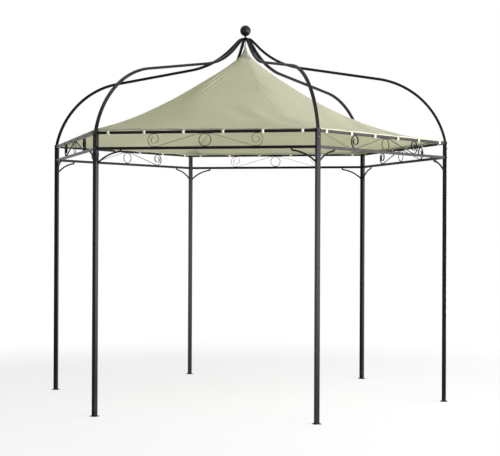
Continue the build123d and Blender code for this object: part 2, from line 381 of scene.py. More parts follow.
def bandShape(rows, closed):
    # rows of equal length become the rings of one closed solid
    count = len(rows[0])
    verts = [point for row in rows for point in row]
    faces = []
    for row in range(len(rows) if closed else len(rows) - 1):
        here, there = row * count, ((row + 1) % len(rows)) * count
        for step in range(count):
            after = (step + 1) % count
            faces.append((here + step, here + after, there + after, there + step))
    if not closed:
        faces.append(tuple(reversed(range(count))))
        faces.append(tuple(range(len(verts) - count, len(verts))))
    return verts, faces


def roundedSquare(half, corner, steps):
    # points round a square, with so many at each round corner
    points = []
    for quarter in range(4):
        turn = quarter * math.pi / 2
        centre = Vector((half - corner, half - corner, 0))
        centre.rotate(Matrix.Rotation(turn, 3, "Z"))
        for step in range(steps):
            points.append(centre + around(turn + step * math.pi / 2 / (steps - 1), corner))
    return points


def sweepBand(rows, name, finish, closed=False, uvs=None):
    return faceOutwards(newPiece(name, *bandShape(rows, closed), finish, uvs))


# geometry node trees

def newTree(name, inputs):
    tree = bpy.data.node_groups.new(name, "GeometryNodeTree")
    tree.interface.new_socket("Geometry", in_out="INPUT", socket_type="NodeSocketGeometry")
    tree.interface.new_socket("Geometry", in_out="OUTPUT", socket_type="NodeSocketGeometry")
    for label, kind in inputs.items():
        tree.interface.new_socket(label, in_out="INPUT", socket_type="NodeSocket" + kind)
    return tree, NodeSheet(tree)


def treeInput(sheet, label):
    return sheet.node("NodeGroupInput", out=label)


def closeTree(sheet, instances):
    solid = sheet.node("GeometryNodeRealizeInstances", {}, {"Geometry": instances})
    sockets = {"Geometry": solid, "Material": treeInput(sheet, "Finish")}
    sheet.node("NodeGroupOutput", {}, {"Geometry": sheet.node("GeometryNodeSetMaterial", {}, sockets)})


def scatterTree():
    # one thing on every point, its Z along "aim" and its X along "run"
    inputs = {"Thing": "Object", "Size": "Float", "Jitter": "Float", "Seed": "Int", "Finish": "Material"}
    tree, sheet = newTree("scatterOnPoints", inputs)
    vector = {"data_type": "FLOAT_VECTOR"}
    aim = sheet.node("GeometryNodeInputNamedAttribute", vector, {"Name": "aim"})
    run = sheet.node("GeometryNodeInputNamedAttribute", vector, {"Name": "run"})
    upright = sheet.node("FunctionNodeAlignRotationToVector", {"axis": "Z"}, {"Vector": aim})
    settings = {"axis": "X", "pivot_axis": "Z"}
    turned = sheet.node("FunctionNodeAlignRotationToVector", settings, {"Rotation": upright, "Vector": run})
    thing = sheet.node("GeometryNodeObjectInfo", {}, {"Object": treeInput(sheet, "Thing")}, "Geometry")
    size, jitter = treeInput(sheet, "Size"), treeInput(sheet, "Jitter")
    sockets = {2: size * (1 - jitter), 3: size * (1 + jitter), "Seed": treeInput(sheet, "Seed")}
    scale = sheet.node("FunctionNodeRandomValue", {"data_type": "FLOAT"}, sockets, 1)
    sockets = {"Points": treeInput(sheet, "Geometry"), "Instance": thing, "Rotation": turned, "Scale": scale}
    closeTree(sheet, sheet.node("GeometryNodeInstanceOnPoints", {}, sockets))
    return tree


def beadTree():
    # a row of small rounded beads along every path: stitches, or the ripples of a weld
    inputs = {"Pitch": "Float", "Length": "Float", "Thickness": "Float", "Jitter": "Float", "Seed": "Int"}
    tree, sheet = newTree("beadsAlongPaths", {**inputs, "Finish": "Material"})
    path = sheet.node("GeometryNodeMeshToCurve", {}, {"Mesh": treeInput(sheet, "Geometry")})
    sockets = {"Curve": path, "Length": treeInput(sheet, "Pitch")}
    even = sheet.node("GeometryNodeResampleCurve", {"mode": "LENGTH"}, sockets)
    points = sheet.node("GeometryNodeCurveToPoints", {"mode": "EVALUATED"}, {"Curve": even})
    tangent = Wire(sheet, points.socket.node.outputs["Tangent"])
    turned = sheet.node("FunctionNodeAlignRotationToVector", {"axis": "X"}, {"Vector": tangent})
    bead = sheet.node("GeometryNodeMeshIcoSphere", {}, {"Radius": 0.5, "Subdivisions": 1})
    jitter = treeInput(sheet, "Jitter")
    sockets = {2: 1 - jitter, 3: 1 + jitter, "Seed": treeInput(sheet, "Seed")}
    wobble = sheet.node("FunctionNodeRandomValue", {"data_type": "FLOAT"}, sockets, 1)
    thick = treeInput(sheet, "Thickness") * wobble
    sockets = {"X": treeInput(sheet, "Length") * wobble, "Y": thick, "Z": thick}
    scale = sheet.node("ShaderNodeCombineXYZ", {}, sockets)
    sockets = {"Points": points, "Instance": bead, "Rotation": turned, "Scale": scale}
    closeTree(sheet, sheet.node("GeometryNodeInstanceOnPoints", {}, sockets))
    return tree


scatterOnPoints = scatterTree()
beadsAlongPaths = beadTree()


def grow(name, carrier, tree, values):
    # runs a tree on a carrier mesh and keeps the result as a plain mesh
    source = placed(name + "Source", carrier)
    modifier = source.modifiers.new("grow", "NODES")
    modifier.node_group = tree
    for item in tree.interface.items_tree:
        if item.in_out == "INPUT" and item.name in values:
            modifier[item.identifier] = values[item.name]
    depsgraph = bpy.context.evaluated_depsgraph_get()
    mesh = bpy.data.meshes.new_from_object(source.evaluated_get(depsgraph))
    source.modifiers.remove(modifier)
    bpy.data.objects.remove(source)
    mesh.name = name
    mesh.materials.clear()
    mesh.materials.append(values["Finish"])
    mesh.polygons.foreach_set("use_smooth", [True] * len(mesh.polygons))
    return placed(name, mesh)


def pointCarrier(places):
    # places are (point, aim, run)
    mesh = bpy.data.meshes.new("points")
    mesh.from_pydata([tuple(place[0]) for place in places], [], [])
    for label, column in (("aim", 1), ("run", 2)):
        layer = mesh.attributes.new(label, "FLOAT_VECTOR", "POINT")
        layer.data.foreach_set("vector", [value for place in places for value in place[column]])
    return mesh


def pathCarrier(paths):
    # each path is a list of points, joined in order
    mesh = bpy.data.meshes.new("paths")
    points, edges = [], []
    for path in paths:
        start = len(points)
        points += [tuple(point) for point in path]
        edges += [(start + step, start + step + 1) for step in range(len(path) - 1)]
    mesh.from_pydata(points, edges, [])
    return mesh


def scatter(name, verts, faces, places, finish, jitter=0.0, seed=0):
    thing = newPiece(name + "Pattern", verts, faces, finish)
    faceOutwards(thing)
    values = {"Thing": thing, "Size": 1.0, "Jitter": jitter, "Seed": seed, "Finish": finish}
    piece = grow(name, pointCarrier(places), scatterOnPoints, values)
    bpy.data.objects.remove(thing)
    return piece


def keep(piece, replaced=()):
    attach(piece, "root")
    if replaced:
        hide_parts(*replaced)
    return piece


# canopy

canopyCut = {
    # how far each ridge hangs below a straight line, and how its hem corner is lifted
    "slack": {
        "right": 0.8,
        "back_right": 0.6,
        "back_left": 0.6,
        "left": 0.62,
        "front_left": 0.365,
        "front_right": 0.85,
    },
    "lift": {"front_left": 0.016},
    "liftPower": 5,
    # how far a ridge strays from its straight line in plan
    "drift": {"front_right": -0.012},
    "wander": 0.014,
    # how far the middle of each gore stands out from its ridges
    "bulge": {"front": 0.016, "front_left": 0.01, "front_right": 0.03},
    "plainBulge": 0.02,
    "bulgePower": 0.8,
    # width over which a ridge is rounded, and the largest share of a gore that it takes
    "ridgeRound": 0.06,
    "roundLimit": 0.4,
    # where on a side the columns of the mesh stand closer, for its fine creases
    "focus": {"front": 0.23, "back": 0.72, "back_right": 0.27, "front_left": 0.27},
    "focusSpread": 0.1,
    "focusGain": 2.2,
    "focusSteps": 2000,
    # a soft crest where the cloth folds between two ridges, leaning from the first one
    "crest": {
        "front": {"rise": 0.13, "lean": 0.45, "leastLean": 0.02, "sharp": 8.0, "grow": 1.2, "fade": 10},
    },
    # slow swells of the cloth: scale, height and place in the noise
    "swells": [(2.3, 0.007, (3.1, 7.7)), (7.0, 0.0022, (9.4, 1.3))],
    # how fast folds grow away from the hem, the peak and the ridges
    "foldEase": {"hem": 12, "peak": 8, "ridge": 30},
    "hemRise": 0.008,
    "peakDrop": 0.0475,
    "spikeHeight": 0.058,
    "spikeReach": 0.022,
    "tipRadius": 0.004,
    "tipRise": 0.0005,
    "rings": 140,
    "ringEase": 1.35,
    "columns": 54,
    "edgeTurn": 0.003,
    "edgeDrop": 0.012,
    "thickness": 0.001,
}
tieLayout = {
    "count": 6,
    "endOffset": 0.1,
    # between ties the hem rises and draws in
    "scallopRise": 0.004,
    "scallopPull": 0.006,
    "scallopPower": 14,
}
tiePitch = (sideLength - 2 * tieLayout["endOffset"]) / (tieLayout["count"] - 1)
hemTop = railHigh.z + canopyCut["hemRise"]
slant = math.hypot(apothem, canopyPeak - hemTop)

# soft folds of each side: centre across and down in metres from the peak, lie in degrees,
# length, spacing of the waves, how many there are and their height
folds = {
    "front": [
        (-0.175, 0.64, 74, 0.36, 0.034, 1.35, 0.0078),
        (-0.25, 0.86, 70, 0.2, 0.04, 0.8, 0.0025),
        (-0.58, 1.54, 22, 0.3, 0.06, 0.6, 0.006),
        (-0.14, 1.63, 35, 0.24, 0.065, 0.7, 0.009),
        (0.215, 0.50, 110, 0.18, 0.04, 0.8, 0.006),
        (0.43, 0.92, 110, 0.15, 0.05, 0.7, 0.005),
        (-0.62, 1.50, 24, 0.5, 0.16, 1.2, 0.006),
        (0.34, 1.25, 120, 0.6, 0.3, 1.2, 0.006),
    ],
    "front_right": [
        (-0.21, 0.50, 72, 0.18, 0.04, 0.8, 0.006),
        (-0.41, 0.92, 72, 0.16, 0.05, 0.7, 0.006),
        (-0.56, 1.27, 72, 0.16, 0.06, 0.7, 0.006),
        (-0.12, 0.62, 110, 0.6, 0.16, 1.6, 0.002),
        (0.30, 1.30, 60, 0.7, 0.3, 1.2, 0.008),
    ],
    "back_right": [(-0.20, 0.70, 74, 0.3, 0.042, 1.0, 0.004), (0.15, 1.05, 75, 0.8, 0.28, 1.4, 0.008)],
    "back": [
        (0.19, 0.60, 106, 0.34, 0.038, 1.2, 0.005),
        (-0.30, 1.20, 55, 0.8, 0.3, 1.3, 0.008),
        (0.14, 0.55, 105, 0.5, 0.1, 2.0, 0.004),
    ],
    "back_left": [(0.52, 1.36, 150, 0.3, 0.07, 0.7, 0.004), (-0.10, 0.90, 95, 0.8, 0.26, 1.5, 0.008)],
    "front_left": [
        (-0.17, 0.58, 74, 0.3, 0.038, 1.1, 0.005),
        (0.20, 0.70, 118, 0.6, 0.14, 1.6, 0.005),
        (-0.25, 1.30, 60, 0.6, 0.3, 1.2, 0.008),
    ],
}


def ridgeHeight(index, share):
    corner = cornerNames[index % 6]
    rise = canopyPeak - canopyCut["peakDrop"] - hemTop
    fall = (1 - share) * (1 - canopyCut["slack"][corner] * share)
    lift = canopyCut["lift"].get(corner, 0.0) * share ** canopyCut["liftPower"]
    spike = canopyCut["spikeHeight"] * math.exp(-share * hemReach / canopyCut["spikeReach"])
    return hemTop + rise * fall + lift + spike


def ridgePlan(index, share):
    corner = cornerNames[index % 6]
    angle = index * cornerTurn
    swing = math.sin(math.pi * share)
    drift = canopyCut["drift"].get(corner, 0.0) * swing * (1 - share) * 2
    place = Vector((index % 6 * 5.1, share * 9.0, 2.7))
    drift += canopyCut["wander"] * noise.noise(place) * swing
    return around(angle, hemReach * share) + around(angle + math.pi / 2, drift)


def foldHeight(side, across, down):
    total = 0.0
    for x, y, lie, length, spacing, count, height in folds[side]:
        turn = math.radians(lie)
        dx, dy = across - x, down - y
        along = dx * math.cos(turn) - dy * math.sin(turn)
        over = dx * math.sin(turn) + dy * math.cos(turn)
        fade = math.exp(-((along / length * 2) ** 2) - (over / (spacing * count)) ** 2)
        total += height * math.cos(2 * math.pi * over / spacing) * fade
    return total


def crestHeight(side, over, share):
    # a tent with a rounded top, which runs out at the peak and at the hem
    crest = canopyCut["crest"].get(side)
    if not crest:
        return 0.0
    sharp = crest["sharp"]
    fold = max(crest["lean"] * share, crest["leastLean"])
    near = math.exp(-sharp * over / fold)
    far = math.exp(-sharp * (1 - over) / (1 - fold))
    tent = max(-math.log(near + far) / sharp, 0.0)
    return crest["rise"] * tent * share ** crest["grow"] * (1 - share ** crest["fade"])


def hemScallop(across):
    # 0 at a tie, 1 half way between two ties
    phase = (across + sideLength / 2 - tieLayout["endOffset"]) / tiePitch
    if phase < 0 or phase > tieLayout["count"] - 1:
        return 0.0
    return math.sin(math.pi * phase) ** 2


def clothPoint(gore, over, share):
    # over runs 0 to 1 from one ridge to the next, share 0 to 1 from the peak to the hem;
    # a ridge is rounded by taking the mean of points on both sides of it
    width = canopyCut["ridgeRound"] * (1 - share) / (sideLength * share)
    reach = min(width, canopyCut["roundLimit"]) - min(over, 1 - over)
    if reach <= 0:
        return plainPoint(gore, over, share)
    total, weights = Vector(), 0.0
    for step in (-2, -1, 0, 1, 2):
        spot, side = over + reach * step / 2, gore
        if spot < 0:
            spot, side = spot + 1, gore - 1
        elif spot > 1:
            spot, side = spot - 1, gore + 1
        total += plainPoint(side % 6, spot, share) * (3 - abs(step))
        weights += 3 - abs(step)
    return total / weights


def plainPoint(gore, over, share):
    first, second = ridgePlan(gore, share), ridgePlan(gore + 1, share)
    point = first.lerp(second, over)
    height = ridgeHeight(gore, share) * (1 - over) + ridgeHeight(gore + 1, share) * over
    bow = 4 * over * (1 - over)
    across = (over - 0.5) * sideLength * share
    down = share * slant
    edge = share ** tieLayout["scallopPower"] * hemScallop(across)
    bulge = canopyCut["bulge"].get(sideNames[gore], canopyCut["plainBulge"])
    height += bulge * bow * max(math.sin(math.pi * share), 0.0) ** canopyCut["bulgePower"]
    height += crestHeight(sideNames[gore], over, share)
    height += tieLayout["scallopRise"] * edge
    ease = canopyCut["foldEase"]
    inner = min(1.0, ease["hem"] * (1 - share)) * min(1.0, share * ease["peak"])
    apart = min(1.0, ease["ridge"] * over * (1 - over))
    height += foldHeight(sideNames[gore], across, down) * inner * apart
    for scale, size, shift in canopyCut["swells"]:
        height += noise.noise(point * scale + Vector((*shift, gore))) * size * inner * bow
    outward = around((gore + 0.5) * cornerTurn, 1.0)
    point -= outward * tieLayout["scallopPull"] * edge
    point.z = height
    return point


def clothNormal(gore, over, share):
    step = 0.004
    side = clothPoint(gore, min(over + step, 1), share) - clothPoint(gore, max(over - step, 0), share)
    down = clothPoint(gore, over, min(share + step, 1)) - clothPoint(gore, over, share - step)
    normal = down.cross(side).normalized()
    return normal if normal.z > 0 else -normal


def ringShares():
    start = canopyCut["tipRadius"] / hemReach
    count, ease = canopyCut["rings"], canopyCut["ringEase"]
    shares = [start + (1 - start) * (ring / count) ** ease for ring in range(count)]
    return shares + [1 - canopyCut["edgeTurn"] / slant, 1.0]


def columnShares(side):
    # columns stand closer where a side has fine creases
    count, steps = canopyCut["columns"], canopyCut["focusSteps"]
    if side not in canopyCut["focus"]:
        return [column / count for column in range(count)]
    sums = [0.0]
    for step in range(steps):
        gap = ((step + 0.5) / steps - canopyCut["focus"][side]) / canopyCut["focusSpread"]
        sums.append(sums[-1] + 1 + canopyCut["focusGain"] * math.exp(-gap * gap))
    shares, step = [], 0
    for column in range(count):
        goal = sums[-1] * column / count
        while sums[step + 1] < goal:
            step += 1
        shares.append((step + (goal - sums[step]) / (sums[step + 1] - sums[step])) / steps)
    return shares


def canopySheet():
    columns = canopyCut["columns"]
    total = 6 * columns
    spots = [columnShares(side) for side in sideNames]
    # the edge turns down into the hem
    levels = [(share, 0.0) for share in ringShares()]
    levels += [(1.0, canopyCut["edgeTurn"]), (1.0, canopyCut["edgeDrop"])]
    verts, uvs, faces = [], [], []
    for share, drop in levels:
        for gore in range(6):
            for over in spots[gore]:
                verts.append(clothPoint(gore, over, share) - Vector((0, 0, drop)))
                run = gore * sideLength + (over - 0.5) * sideLength * share
                uvs.append((run, share * slant + drop))
    for row in range(len(levels) - 1):
        low, high = row * total, (row + 1) * total
        for step in range(total):
            after = (step + 1) % total
            faces.append((low + step, high + step, high + after, low + after))
    tip = len(verts)
    verts.append(Vector((0, 0, max(v.z for v in verts[:total]) + canopyCut["tipRise"])))
    uvs.append((0.0, 0.0))
    for step in range(total):
        faces.append((tip, step, (step + 1) % total))
    piece = newPiece("canopySheet", verts, faces, cloth, uvs)
    # the last column of a gore ends in its own weave, not in the next gore's
    layer = piece.data.uv_layers["weave"]
    for index, face in enumerate(piece.data.polygons[:tip - total]):
        gore, column = divmod(index % total, columns)
        if column == columns - 1:
            for loop in list(face.loop_indices)[2:]:
                down = layer.data[loop].uv.y
                layer.data[loop].uv.x = (gore + min(down / slant, 1.0) / 2) * sideLength
    return piece


canopy = canopySheet()
wall = canopy.modifiers.new("wall", "SOLIDIFY")
wall.thickness = canopyCut["thickness"]
wall.offset = -1
keep(canopy, ["canopy"])
print("canopy sheet made")

hemSizes = {
    "height": 0.016,
    "thickness": 0.0022,
    "ease": 0.0004,
    "piping": 0.003,
    "pipingSquash": 0.8,
    "steps": 120,
}


def hemBand():
    # a doubled band under the canopy's edge, with a rolled lip at the top
    rows, uvs = [], []
    half, lip, steps = hemSizes["thickness"] / 2, hemSizes["piping"], hemSizes["steps"]
    profile = [(-half, -hemSizes["height"]), (half, -hemSizes["height"]), (half, -lip)]
    for turn in range(7):
        angle = math.radians(-50 + turn * 40)
        profile.append((lip * hemSizes["pipingSquash"] * math.cos(angle), lip * math.sin(angle)))
    profile.append((-half, -lip))
    for gore in range(6):
        outward = around((gore + 0.5) * cornerTurn, 1.0)
        for step in range(steps):
            over = step / steps
            # the band is mitred at the corners
            reach = outward if step else around(gore * cornerTurn, 1 / math.cos(cornerTurn / 2))
            edge = clothPoint(gore, over, 1.0) + reach * (half + hemSizes["ease"])
            rows.append([edge + reach * out + Vector((0, 0, up)) for out, up in profile])
            uvs += [((gore + over) * sideLength, up + out) for out, up in profile]
    return sweepBand(rows, "canopyHem", hemClothWithHighlight, closed=True, uvs=uvs)


hem = keep(hemBand())

seamLook = {
    "width": 0.018,
    "height": 0.0006,
    "sink": 0.0006,
    "start": 0.05,
    "end": 0.995,
    "steps": 150,
    "beside": 0.03,
}


def seamShares():
    start, end, steps = seamLook["start"], seamLook["end"], seamLook["steps"]
    return [start + (end - start) * step / steps for step in range(steps + 1)]


def seamPoint(index, share, offset, lift):
    # a point beside a ridge, offset along the cloth and lifted off it
    gore = index % 6 if offset >= 0 else (index - 1) % 6
    over = abs(offset) / (sideLength * share)
    over = over if offset >= 0 else 1 - over
    left = clothNormal((index - 1) % 6, 1 - seamLook["beside"], share)
    right = clothNormal(index % 6, seamLook["beside"], share)
    return clothPoint(gore, over, share) + (left + right).normalized() * lift


def ridgeSeams():
    half, lift, sink = seamLook["width"] / 2, seamLook["height"], seamLook["sink"]
    right = [(half * 0.8, lift), (half, lift * 0.6), (half, -sink)]
    profile = [(-x, z) for x, z in reversed(right)] + [(0, lift * 1.2)] + right
    made = []
    for index in range(6):
        rows = [[seamPoint(index, share, *spot) for spot in profile] for share in seamShares()]
        uvs = [(spot[0], share * slant) for share in seamShares() for spot in profile]
        made.append(sweepBand(rows, "seam", seamCloth, uvs=uvs))
    return joined("canopySeams", made)


def joined(name, made):
    # several like meshes as one piece
    shape = bmesh.new()
    for piece in made:
        shape.from_mesh(piece.data)
    mesh = bpy.data.meshes.new(name)
    shape.to_mesh(mesh)
    shape.free()
    for finish in made[0].data.materials:
        mesh.materials.append(finish)
    for piece in made:
        bpy.data.objects.remove(piece)
    return placed(name, mesh)


seams = keep(ridgeSeams())

stitchLook = {
    "Pitch": 0.0075,
    "Length": 0.0056,
    "Thickness": 0.0011,
    "Jitter": 0.06,
    "Seed": 4,
    "Finish": thread,
}
stitchRows = {
    "lift": 0.0002,
    "seamOffsets": (-0.006, 0.006),
    "hemDrops": (0.005, 0.012),
    "hemEase": 0.0006,
    "hemSkip": 3,
    "patchInsets": (0.004, 0.009),
}


def seamStitchPaths():
    lift = seamLook["height"] + stitchRows["lift"]
    paths = []
    for index in range(6):
        for offset in stitchRows["seamOffsets"]:
            paths.append([seamPoint(index, share, offset, lift) for share in seamShares()])
    return paths


def hemStitchPaths():
    steps, skip = hemSizes["steps"], stitchRows["hemSkip"]
    reach = hemSizes["thickness"] + stitchRows["hemEase"]
    paths = []
    for drop in stitchRows["hemDrops"]:
        for gore in range(6):
            shift = around((gore + 0.5) * cornerTurn, reach, -drop)
            spots = range(skip, steps + 1 - skip)
            paths.append([clothPoint(gore, step / steps, 1.0) + shift for step in spots])
    return paths


def stitched(name, paths):
    return keep(grow(name, pathCarrier(paths), beadsAlongPaths, stitchLook))


seamStitches = stitched("seamStitches", seamStitchPaths())
hemStitches = stitched("hemStitches", hemStitchPaths())

peakLook = {
    "patchStart": 0.02,
    "patchReach": 0.085,
    "patchThickness": 0.0009,
    "patchSteps": 14,
    "patchRun": 0.2,
    "stitchSteps": 16,
    # the bound tip, as radius and height from the peak
    "cap": [
        (0, -0.046), (0.0225, -0.049), (0.0238, -0.0475), (0.0212, -0.041), (0.0168, -0.031),
        (0.0136, -0.021), (0.0116, -0.011), (0.0108, -0.004), (0.0088, -0.0012), (0, -0.0006),
    ],
    "capSteps": 72,
    "capRun": 0.02,
    "pleats": 9,
    "pleatDepth": 0.07,
    "wire": 0.003,
    "cord": 0.0013,
    "cordEase": 0.0003,
    "cordPitch": 0.0029,
    "cordSteps": 28,
    "cordSides": 10,
}


def peakPatch():
    # a doubled hexagon of cloth that takes the pull of the cord
    steps = peakLook["patchSteps"]
    start, reach = peakLook["patchStart"] / hemReach, peakLook["patchReach"] / hemReach
    shares = [start + (reach - start) * step / steps for step in range(steps + 1)]
    rows, uvs = [], []
    for gore in range(6):
        for column in range(steps):
            over = column / steps
            lift = Vector((0, 0, peakLook["patchThickness"]))
            under = [clothPoint(gore, over, share) - lift for share in reversed(shares)]
            rows.append([clothPoint(gore, over, share) + lift for share in shares] + under)
            run = (gore + over) * peakLook["patchRun"]
            uvs += [(run, share * slant) for share in shares + shares[::-1]]
    return sweepBand(rows, "peakPatch", patchCloth, closed=True, uvs=uvs)


def peakCap():
    # the gathered end of the gores, bound into a blunt tip
    profile = [(radius, canopyPeak + height) for radius, height in peakLook["cap"]]
    verts, faces = lathe(profile, peakLook["capSteps"])
    gathered, uvs = [], []
    for vert in verts:
        angle = math.atan2(vert.y, vert.x)
        pleat = 1 + peakLook["pleatDepth"] * math.cos(peakLook["pleats"] * angle)
        gathered.append(Vector((vert.x * pleat, vert.y * pleat, vert.z)))
        uvs.append((angle * peakLook["capRun"], vert.z - canopyPeak))
    return faceOutwards(newPiece("peakCap", gathered, faces, patchCloth, uvs))


def peakCord():
    # two turns of cord round the lowest point of the hook's eye
    low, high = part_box("canopy_hook")
    thick, steps, sides = peakLook["cord"], peakLook["cordSteps"], peakLook["cordSides"]
    reach = peakLook["wire"] + thick + peakLook["cordEase"]
    made = []
    for side in (-0.5, 0.5):
        across = (low.x + high.x) / 2 + side * peakLook["cordPitch"]
        centre = Vector((across, 0, low.z + peakLook["wire"]))
        rows = []
        for step in range(steps):
            angle = 2 * math.pi * step / steps
            out = Vector((0, math.cos(angle), math.sin(angle)))
            ring = []
            for turn in range(sides):
                lean = 2 * math.pi * turn / sides
                spot = centre + out * (reach + thick * math.cos(lean))
                ring.append(spot + Vector((thick * math.sin(lean), 0, 0)))
            rows.append(ring)
        made.append(sweepBand(rows, "turn", tape, closed=True))
    return joined("peakCord", made)


def peakStitchPaths():
    steps = peakLook["stitchSteps"]
    lift = Vector((0, 0, peakLook["patchThickness"] + stitchRows["lift"]))
    paths = []
    for inset in stitchRows["patchInsets"]:
        share = (peakLook["patchReach"] - inset) / hemReach
        path = []
        for gore in range(6):
            path += [clothPoint(gore, step / steps, share) + lift for step in range(steps)]
        paths.append(path + path[:1])
    return paths


cornerPatch = {
    "reach": 0.15,
    "width": 0.105,
    "narrow": 0.012,
    "lift": 0.002,
    "thickness": 0.0014,
    "edge": 0.9985,
    "steps": 12,
    "halfColumns": 8,
}


def patchRows(inset=0.0):
    # shares from the point of the patch to the hem, with the half width there
    steps = cornerPatch["steps"]
    rows = []
    for step in range(steps + 1):
        share = cornerPatch["edge"] - cornerPatch["reach"] * (1 - step / steps) / hemReach
        half = cornerPatch["narrow"] + (cornerPatch["width"] - cornerPatch["narrow"]) * step / steps
        rows.append((share, half - inset))
    return rows


def cornerPatches():
    lift, thick, count = cornerPatch["lift"], cornerPatch["thickness"], cornerPatch["halfColumns"]
    spots = [step / count - 1 for step in range(2 * count + 1)]
    made = []
    for index in range(6):
        rows, uvs = [], []
        for share, half in patchRows():
            over = [seamPoint(index, share, spot * half, lift) for spot in spots]
            under = [seamPoint(index, share, spot * half, lift - thick) for spot in reversed(spots)]
            rows.append(over + under)
            uvs += [(spot * half, share * slant) for spot in spots + spots[::-1]]
        made.append(sweepBand(rows, "patch", seamCloth, uvs=uvs))
    return joined("cornerPatches", made)


def cornerStitchPaths():
    lift = cornerPatch["lift"] + stitchRows["lift"]
    paths = []
    for index in range(6):
        for sign in (-1, 1):
            for inset in stitchRows["patchInsets"]:
                rows = patchRows(inset)[1:-1]
                paths.append([seamPoint(index, share, sign * half, lift) for share, half in rows])
    return paths


patch = keep(peakPatch())
cap = keep(peakCap())
cord = keep(peakCord())
corners = keep(cornerPatches())
patchStitches = stitched("patchStitches", peakStitchPaths() + cornerStitchPaths())

print("canopy seams and stitches made")

# ties

tieLook = {
    "width": 0.022,
    "thickness": 0.0018,
    "ease": 0.0006,
    "corner": 0.004,
    "cornerSteps": 6,
    "tongue": 0.005,
    "tongueBow": 0.0004,
    "tongueWidth": 0.8,
    "flap": 0.017,
    "flapTop": 0.72,
    "flapBow": 0.0002,
    "flapWidth": 0.9,
    "wander": 0.012,
    "frontNudge": -0.013,
}


def ribbon(path, width, thickness, closed):
    # a tape of even thickness along a path of (y, z) points
    count = len(path)
    edges = [(-width / 2, 1), (width / 2, 1), (width / 2, -1), (-width / 2, -1)]
    rows = []
    for index, (y, z) in enumerate(path):
        before = path[(index - 1) % count] if closed or index else path[index]
        after = path[(index + 1) % count] if closed or index < count - 1 else path[index]
        run = Vector((after[0] - before[0], after[1] - before[1])).normalized()
        out = Vector((run.y, -run.x)) * thickness / 2
        rows.append([Vector((x, y + face * out.x, z + face * out.y)) for x, face in edges])
    return bandShape(rows, closed)


def tieShape():
    thick, corner = tieLook["thickness"], tieLook["corner"]
    half = railSize / 2 + tieLook["ease"] + thick / 2
    loop = [point.xy for point in roundedSquare(half, corner, tieLook["cornerSteps"])]
    verts, faces = ribbon(loop, tieLook["width"], thick, True)
    # the closing flap lies on the outside of the loop, and a tongue reaches the hem
    flat, top = -half - thick, half * tieLook["flapTop"]
    flap = [(flat, top), (flat - tieLook["flapBow"], 0.0), (flat, top - tieLook["flap"])]
    tongue = [(half - corner * 1.5, half), (half, half + tieLook["tongueBow"])]
    tongue.append((half + tieLook["tongue"], half))
    for path, share in ((flap, tieLook["flapWidth"]), (tongue, tieLook["tongueWidth"])):
        more, moreFaces = ribbon(path, tieLook["width"] * share, thick, False)
        faces += [tuple(index + len(verts) for index in face) for face in moreFaces]
        verts += more
    return verts, faces


def tiePlaces():
    places = []
    for side in range(6):
        turn = sideFrame(side)
        spin = turn.to_3x3()
        for step in range(tieLayout["count"]):
            # tied by hand, so no two sit quite alike
            wander = noise.noise(Vector((side * 3.7, step * 5.3, 0.5))) * tieLook["wander"]
            across = (step - (tieLayout["count"] - 1) / 2) * tiePitch + wander
            # those of the front sit a little to the left, apart from the first
            if sideNames[side] == "front" and step:
                across += tieLook["frontNudge"]
            places.append((turn @ Vector((across, 0, railMid)), (0, 0, 1), spin @ Vector((1, 0, 0))))
    return places


keep(scatter("canopyTies", *tieShape(), tiePlaces(), tape), ["canopy_ties"])
print("ties made")

# bolts and welds

boltLook = {
    "radius": 0.0062,
    "height": 0.0036,
    "socket": 0.0025,
    "socketDepth": 0.002,
    "washer": 0.0082,
    "washerLow": -0.0004,
    "washerHigh": 0.0009,
    "headLow": 0.0011,
    "headMid": 0.0018,
    "steps": 18,
    "screwDrop": 0.045,
    "jitter": 0.02,
    "seed": 2,
}


def boltShape():
    radius, height, socket = boltLook["radius"], boltLook["height"], boltLook["socket"]
    washer, low = boltLook["washer"], boltLook["washerLow"]
    floor = height - boltLook["socketDepth"]
    profile = [(0, low), (washer, low), (washer, boltLook["washerHigh"])]
    profile += [(radius, boltLook["headLow"]), (radius, boltLook["headMid"])]
    profile += [(radius * 0.86, height * 0.82), (radius * 0.6, height)]
    profile += [(socket, height), (socket, floor), (0, floor)]
    return lathe(profile, boltLook["steps"])


def boltPlaces():
    # each frieze is bolted through the outer face of the posts, and a screw holds each rib
    places = []
    for corner in range(6):
        turn = cornerFrame(corner)
        spin = turn.to_3x3()
        for height in (railMid, lowRailMid, railMid - boltLook["screwDrop"]):
            place = turn @ Vector((postSize / 2, 0, height))
            places.append((place, spin @ Vector((1, 0, 0)), spin @ Vector((0, 1, 0))))
    return places


bolts = scatter("frameBolts", *boltShape(), boltPlaces(), boltSteel, boltLook["jitter"], boltLook["seed"])
keep(bolts)

weldLook = {
    # size of a bead at each kind of joint
    "foot": 0.0055,
    "frieze": 0.0034,
    "brace": 0.0032,
    "crown": 0.004,
    "pitch": 0.55,
    "jitter": 0.22,
    "firstSeed": 11,
    "gap": 0.0006,
    "plateGap": 0.0005,
    "postCorner": 0.004,
    "postSteps": 3,
    # faces of the ring and of the scroll bars, and where they touch the rails
    "ringFace": 0.0032,
    "ringRun": (-0.008, 0.008),
    "barFace": 0.0064,
    "topRun": (0.026, 0.052),
    "voluteRun": (0.398, 0.412),
    "endSlice": 0.0003,
}


def footWelds():
    half, corner = postSize / 2 + weldLook["gap"], weldLook["postCorner"]
    lift = Vector((0, 0, plateTop + weldLook["plateGap"]))
    ring = [spot + lift for spot in roundedSquare(half, corner, weldLook["postSteps"])]
    return [[cornerFrame(index) @ spot for spot in ring + ring[:1]] for index in range(6)]


